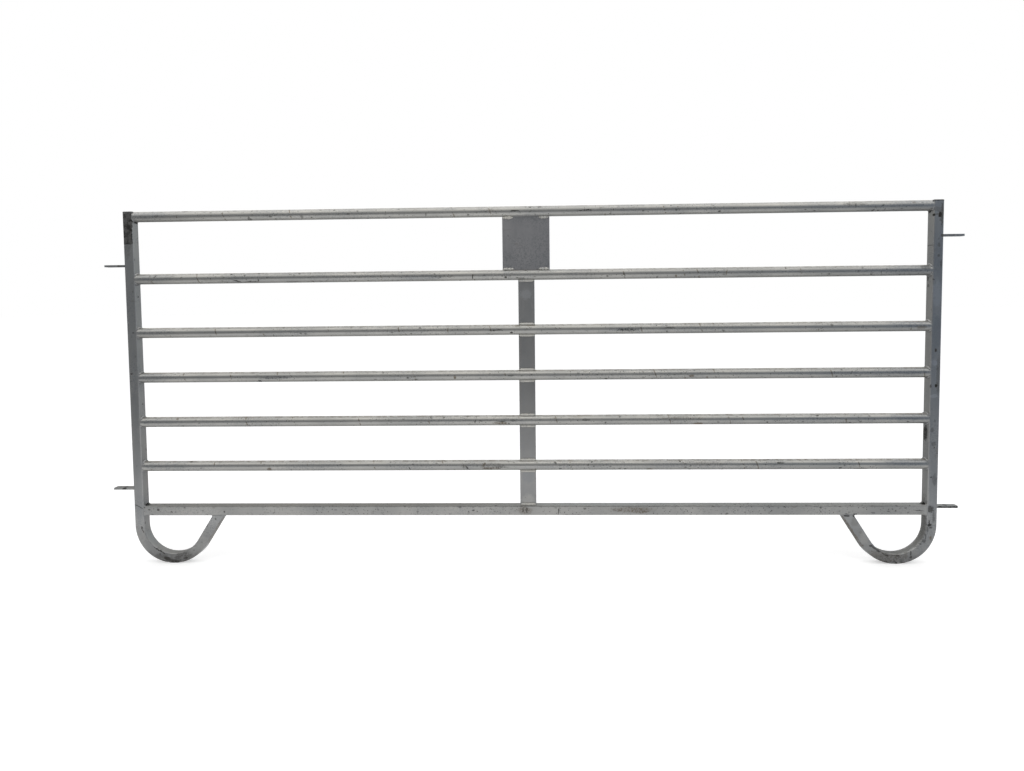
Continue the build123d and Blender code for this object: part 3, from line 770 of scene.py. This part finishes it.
def lay_beads(name, node, seams, zinc, pitch, depth, seed):
    """Weld beads along seams: lists of points with the bead's radius at each, open or closed.

    pitch is the length of a ripple and depth how much of the bead its dips take away."""
    mesh = bpy.data.meshes.new(name)
    points = []
    edges = []
    sizes = []
    for seam, closed in seams:
        first = len(points)
        points += [point for point, size in seam]
        sizes += [size for point, size in seam]
        edges += [(first + i, first + i + 1) for i in range(len(seam) - 1)]
        if closed:
            edges.append((first + len(seam) - 1, first))
    mesh.from_pydata(points, edges, [])
    mesh.attributes.new("bead_size", "FLOAT", "POINT").data.foreach_set("value", sizes)
    beads = bpy.data.objects.new(name, mesh)
    bpy.context.scene.collection.objects.link(beads)
    laid = beads.modifiers.new("weld", "NODES")
    laid.node_group = bead_nodes
    wanted = {
        "Step": 0.0006,
        "Ripple Pitch": pitch,
        "Ripple Depth": depth,
        "Unevenness": 0.3,
        "Seed": seed,
        "Sides": 12,
        "Zinc": zinc,
    }
    for socket in bead_nodes.interface.items_tree:
        if socket.in_out == "INPUT" and socket.name in wanted:
            laid[socket.identifier] = wanted[socket.name]
    solid = bpy.data.meshes.new_from_object(beads.evaluated_get(bpy.context.evaluated_depsgraph_get()))
    beads.modifiers.remove(laid)
    beads.data = solid
    bpy.data.meshes.remove(mesh)
    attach(beads, "root")
    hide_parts(node)


def mix(a, b, share):
    """A value part of the way from one to another."""
    return a + (b - a) * share


def seam_round(half_length, half_depth, squareness, place, first=0, last=360):
    """Seam round a tube's end, beside the tube but sunk into the groove in front and behind.

    It runs from the first angle to the last, in degrees, and place puts its points on the face
    that the tube stands on."""
    corner_start = 0.0105
    corner_end = 0.0145
    bead_out = 0.0012
    bead_in = 0.0014
    bead_radius = 0.0031
    sunk_radius = 0.0014
    sunk_depth = 0.0141
    angle_step = 6
    seam = []
    for angle in range(first, last, angle_step):
        across = abs(sin(radians(angle))) ** (2 / squareness) * (1 if angle % 360 < 180 else -1)
        up = abs(cos(radians(angle))) ** (2 / squareness) * (1 if cos(radians(angle)) > 0 else -1)
        share = min(max((abs(half_depth * across) - corner_start) / (corner_end - corner_start), 0), 1)
        share = share * share * (3 - 2 * share)
        depth = min(max(half_depth * across, -sunk_depth), sunk_depth)
        length = up * (half_length + mix(bead_out, 0, share))
        point = place(length, depth, mix(bead_out, -bead_in, share))
        seam.append((point, mix(bead_radius, sunk_radius, share)))
    return seam


def on_post(side, middle):
    """Places on a post's inner face, round the middle of a tube's end."""

    def place(length, depth, rise):
        return (side * (post_face - rise), depth, middle + length)

    return place


def under_sill(middle):
    """Places on the bottom rail's underside, round the middle of a leg's end."""

    def place(length, depth, rise):
        return (middle + length, depth, sill_low.z - rise)

    return place


round_tube = 2
square_tube = 6
top_rail_runs = [(60, 160), (204, 301)]
sill_run = (6, 355)
tube_ripples = {"pitch": 0.0042, "depth": 0.22}
post_face = rail_high.x
half_sill = (sill_high.z - sill_low.z) / 2
sill_middle = (sill_low.z + sill_high.z) / 2
for side, hand in [(-1, "left"), (1, "right")]:
    seams = []
    for number in range(1, 7):
        low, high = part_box(f"rail_{number}")
        place = on_post(side, (low.z + high.z) / 2)
        if number == 1:
            for run in top_rail_runs:
                seams.append((seam_round(tube_radius, tube_radius, round_tube, place, *run), False))
        else:
            seams.append((seam_round(tube_radius, tube_radius, round_tube, place), True))
    place = on_post(side, sill_middle)
    seams.append((seam_round(half_sill, half_sill, square_tube, place, *sill_run), False))
    name, node = f"rail_beads_{hand}", f"rail_welds_{hand}"
    lay_beads(name, node, seams, tube_bead_zinc, **tube_ripples, seed=3.0 + side)

bead_leg = 0.0045
leg_half = half_sill / cos(radians(leg_slant))
leg_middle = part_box("foot_welds")[1].x - leg_half - bead_leg
seams = []
for side in [-1, 1]:
    place = under_sill(side * leg_middle)
    seams.append((seam_round(leg_half, half_sill, square_tube, place), True))
lay_beads("foot_beads", "foot_welds", seams, tube_bead_zinc, **tube_ripples, seed=5.0)

# Name plate: a plain steel sheet between the two upper rails, galvanised with the panel and
# held by a short, lumpy weld tack at each corner, in front and behind.
plate_zinc = galvanised(
    "galvanised plate",
    tone=(1.01, 1.005, 1.07),
    grain=(34, 34, 7),
    mottling=0.75,
    specks=0.02,
)
finish_with(plate_zinc, "name_plate")
flat_bead_zinc = galvanised(
    "zinc over a flat's weld",
    tone=(1.22, 1.2, 1.16),
    grain=(40, 40, 40),
    mottling=0.6,
    metal=0.5,
    dull=0.12,
)


def flat_seams(low, high, x_from, x_to, rise, radius):
    """Straight seams before and behind a flat's two ends, which stand on round rails."""
    seams = []
    for height, turn in [(low.z, 1), (high.z, -1)]:
        for depth in [low.y - rise, high.y + rise]:
            seam = [((x, depth, height + turn * rise), radius) for x in [x_from, x_to]]
            seams.append((seam, False))
    return seams


tack_length = 0.034
tack_in = 0.0015
tack_rise = 0.002
tack_radius = 0.0052
low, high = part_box("name_plate")
seams = flat_seams(low, high, low.x + tack_in, low.x + tack_length, tack_rise, tack_radius)
seams += flat_seams(low, high, high.x - tack_length, high.x - tack_in, tack_rise, tack_radius)
tack_ripples = {"pitch": 0.0086, "depth": 0.62}
lay_beads("plate_tack_beads", "plate_tack_welds", seams, flat_bead_zinc, **tack_ripples, seed=11.0)

# Brace: five lengths of flat bar in one line down the middle, one in each gap, with a bead
# along both of their faces at each end. The zinc on the middle ones is the darkest.
bar_front = -0.003
brace_marks = {
    1: [Mark((-0.003, bar_front, 0.842), (0.016, mark_depth, 0.014), 0, zinc_pale, 0.34)],
    5: [
        Mark((0.0, bar_front, 0.276), (0.017, mark_depth, 0.02), 0, zinc_grey, 0.7),
        Mark((0.0, bar_front, 0.199), (0.017, mark_depth, 0.017), 0, zinc_light, 0.4),
    ],
}
brace_tones = [0.88, 0.745, 0.63, 0.665, 0.76]
for number, tone in enumerate(brace_tones, start=1):
    brace_zinc = galvanised(
        f"galvanised flat bar {number}",
        tone=(tone, 1.005 * tone, 1.04 * tone),
        grain=(60, 60, 3),
        specks=0.06,
        marks=brace_marks.get(number, []),
    )
    finish_with(brace_zinc, f"brace_{number}")
brace_in = 0.0005
brace_rise = 0.0015
brace_radius = 0.0044
seams = []
for number in range(1, 6):
    low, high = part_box(f"brace_{number}")
    seams += flat_seams(low, high, low.x + brace_in, high.x - brace_in, brace_rise, brace_radius)
brace_ripples = {"pitch": 0.0052, "depth": 0.3}
lay_beads("brace_beads", "brace_welds", seams, flat_bead_zinc, **brace_ripples, seed=7.0)

# Lugs: flat tabs with a pin hole, welded to the posts' outer faces above and below, so that a
# drop pin joins the panel to the next one.
# Painted shade: black along the lower right lug's front edge and round the lower left lug's pin hole. The
# upper lugs carry fainter dark marks
lug_marks = [
    Mark((1.2835, -0.0108, 0.1755), (0.042, 0.003, 0.006), 0, grime_and_shade_black, 1.0),
    Mark((-1.283, -0.0105, 0.2385), (0.006, 0.004, 0.005), 0, grime_and_shade_black, 0.9),
    Mark((1.268, -0.01, 1.0055), (0.022, 0.004, 0.004), 0, grime_and_shade_black, 0.4),
    Mark((-1.262, -0.01, 0.9435), (0.012, 0.004, 0.004), 0, grime_and_shade_black, 0.5),
]
lug_zinc = galvanised(
    "galvanised lug",
    tone=(0.85, 0.86, 0.89),
    grain=(4, 60, 60),
    specks=0.15,
    marks=lug_marks,
)
lug_in = 0.001
lug_rise = 0.0012
lug_radius = 0.0032
seams = []
for hand in ["left", "right"]:
    for height in ["upper", "lower"]:
        lug = f"lug_{hand}_{height}"
        finish_with(lug_zinc, lug)
        low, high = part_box(lug)
        root = high.x - lug_rise if hand == "left" else low.x + lug_rise
        for level in [low.z - lug_rise, high.z + lug_rise]:
            seam = [((root, depth, level), lug_radius) for depth in [low.y + lug_in, high.y - lug_in]]
            seams.append((seam, False))
lug_ripples = {"pitch": 0.0045, "depth": 0.28}
lay_beads("lug_beads", "lug_welds", seams, tube_bead_zinc, **lug_ripples, seed=13.0)

# Studio: a white floor, white surroundings, and plain boards round the panel that only its
# steel reflects, as the yard's ground, sky and buildings would be.
white = (1, 1, 1, 1)


def background_rays(tree):
    """One for rays from the camera and for those that metal or glass send on."""
    light_path = step(tree, "ShaderNodeLightPath", {})
    seen = maths(tree, "MAXIMUM", light_path.outputs["Is Camera Ray"], light_path.outputs["Is Glossy Ray"])
    return maths(tree, "MAXIMUM", seen, light_path.outputs["Is Transmission Ray"])


world = bpy.data.worlds.new("white studio")
bpy.context.scene.world = world
world.use_nodes = True
tree = world.node_tree
fill_light = 0.75
strength = ramp(tree, background_rays(tree), 0.0, 1.0, fill_light, 1.0)
tree.nodes["Background"].inputs["Color"].default_value = white
tree.links.new(strength, tree.nodes["Background"].inputs["Strength"])


def board(name, corners, material):
    """A flat sheet of studio board from its corners."""
    mesh = bpy.data.meshes.new(name)
    mesh.from_pydata(corners, [], [tuple(range(len(corners)))])
    mesh.materials.append(material)
    made = bpy.data.objects.new(name, mesh)
    bpy.context.scene.collection.objects.link(made)
    return made


floor_reach = 40.0
floor_glow = 0.42
floor_paint = bpy.data.materials.new("pale floor")
floor_paint.use_nodes = True
tree = floor_paint.node_tree
shader = tree.nodes["Principled BSDF"]
shader.inputs["Base Color"].default_value = (0.82, 0.82, 0.82, 1)
shader.inputs["Roughness"].default_value = 0.9
shader.inputs["Specular IOR Level"].default_value = 0.0
brightness = times(tree, background_rays(tree), floor_glow)
glow = step(tree, "ShaderNodeEmission", {"Color": white, "Strength": brightness})
painted = step(tree, "ShaderNodeAddShader", {0: shader.outputs[0], 1: glow.outputs[0]})
tree.links.new(painted.outputs[0], tree.nodes["Material Output"].inputs["Surface"])
four_corners = [(-1, -1), (1, -1), (1, 1), (-1, 1)]
board("floor", [(floor_reach * x, floor_reach * y, 0) for x, y in four_corners], floor_paint)


def reflected(name, corners, colour, shading, sky=()):
    """A board that shows only in the steel.

    Each shading has an axis, a stretch of it and the factors that the colour is multiplied with
    along it. Each sky has a stretch of height and the colour that takes over along it."""
    material = bpy.data.materials.new(name)
    material.use_nodes = True
    tree = material.node_tree
    place = step(tree, "ShaderNodeTexCoord", {}).outputs["Object"]
    axes = step(tree, "ShaderNodeSeparateXYZ", {"Vector": place}).outputs
    for axis, start, end, factor in shading:
        colour = tint(tree, ramp(tree, axes[axis], start, end), colour, factor, "MULTIPLY")
    for start, end, above in sky:
        colour = tint(tree, ramp(tree, axes["Z"], start, end), colour, above)
    glow = step(tree, "ShaderNodeEmission", {"Color": colour, "Strength": 1.0})
    tree.links.new(glow.outputs[0], tree.nodes["Material Output"].inputs["Surface"])
    made = board(name, corners, material)
    made.visible_camera = False
    made.visible_diffuse = False
    made.visible_transmission = False
    made.visible_shadow = False


board_side = 6.0
board_away = 2.6
board_foot = 0.01
board_top = 4.6
front_stretch = 3.2
upright_board = [
    (-board_side, board_foot),
    (board_side, board_foot),
    (board_side, board_top),
    (-board_side, board_top),
]
reflected(
    "front_board",
    [(x, -board_away, z * front_stretch) for x, z in upright_board],
    colour=(0.181, 0.188, 0.197, 1),
    shading=[
        ("X", -0.8, -2.6, (0.87, 0.9, 0.92, 1)),
        ("X", 0.8, 2.6, (0.66, 0.81, 1.02, 1)),
        ("X", 3.2, 4.6, (2.2, 2.0, 1.8, 1)),
        ("X", -3.2, -4.6, (1.4, 1.4, 1.4, 1)),
    ],
    sky=[(1.15, 4.7, (1.05, 1.035, 1.0, 1)), (4.5, 10.0, (1.36, 1.32, 1.24, 1))],
)
reflected(
    "back_board",
    [(x, board_away, z) for x, z in upright_board],
    colour=(0.282, 0.277, 0.265, 1),
    shading=[
        ("X", -0.6, 0.6, (1.66, 1.79, 1.93, 1)),
        ("X", 0.7, 1.4, (0.8, 0.79, 0.77, 1)),
    ],
    sky=[(1.5, 4.4, (1.3, 1.27, 1.21, 1))],
)
side_board = [
    (-board_away, board_foot),
    (board_away, board_foot),
    (board_away, board_top),
    (-board_away, board_top),
]
reflected(
    "left_board",
    [(-board_side, y, z) for y, z in side_board],
    colour=(0.3, 0.3, 0.3, 1),
    shading=[],
    sky=[(1.2, 4.2, (1.2, 1.18, 1.14, 1))],
)
reflected(
    "right_board",
    [(board_side, y, z) for y, z in side_board],
    colour=(0.46, 0.51, 0.58, 1),
    shading=[],
    sky=[(1.2, 4.2, (1.2, 1.18, 1.14, 1))],
)
ground_level = 0.005
reflected(
    "ground_board",
    [(board_side * x, board_away * y, ground_level) for x, y in four_corners],
    colour=(0.77, 0.77, 0.77, 1),
    shading=[
        ("Y", -1.2, -2.6, (0.54, 0.54, 0.55, 1)),
        ("Y", -0.6, 0.75, (0.46, 0.46, 0.46, 1)),
        ("X", -0.3, 1.7, (0.76, 0.77, 0.78, 1)),
        ("X", -1.4, -2.3, (0.36, 0.36, 0.36, 1)),
        ("X", 1.5, 2.0, (0.45, 0.48, 0.53, 1)),
    ],
)

# Lamp: one wide softbox above the panel and a little in front of it. It lights the floor and
# the dirt, and the steel doesn't mirror it.
lamp = bpy.data.lights.new("overhead softbox", "AREA")
lamp.shape = "RECTANGLE"
lamp.size = 5.0
lamp.size_y = 3.0
lamp.energy = 44.0
lamp_holder = bpy.data.objects.new("overhead softbox", lamp)
lamp_holder.location = (0, -0.6, 3.6)
lamp_holder.visible_glossy = False
bpy.context.scene.collection.objects.link(lamp_holder)

# Camera: where the photo was taken from, close in front of the panel with a wide lens. Its
# place, tilt and shift were fitted to the edges of the tubes.
lens = bpy.data.cameras.new("photo camera")
lens.sensor_fit = "HORIZONTAL"
lens.sensor_width = 36.0
lens.lens = 21.157
lens.shift_y = -0.0542
camera = bpy.data.objects.new("photo camera", lens)
camera.location = (0.0061, -1.8616, 0.822)
camera.rotation_euler = (radians(87.227), radians(0.608), radians(1.567))
bpy.context.scene.collection.objects.link(camera)
bpy.context.scene.camera = camera
bpy.context.scene.view_settings.view_transform = "Standard"
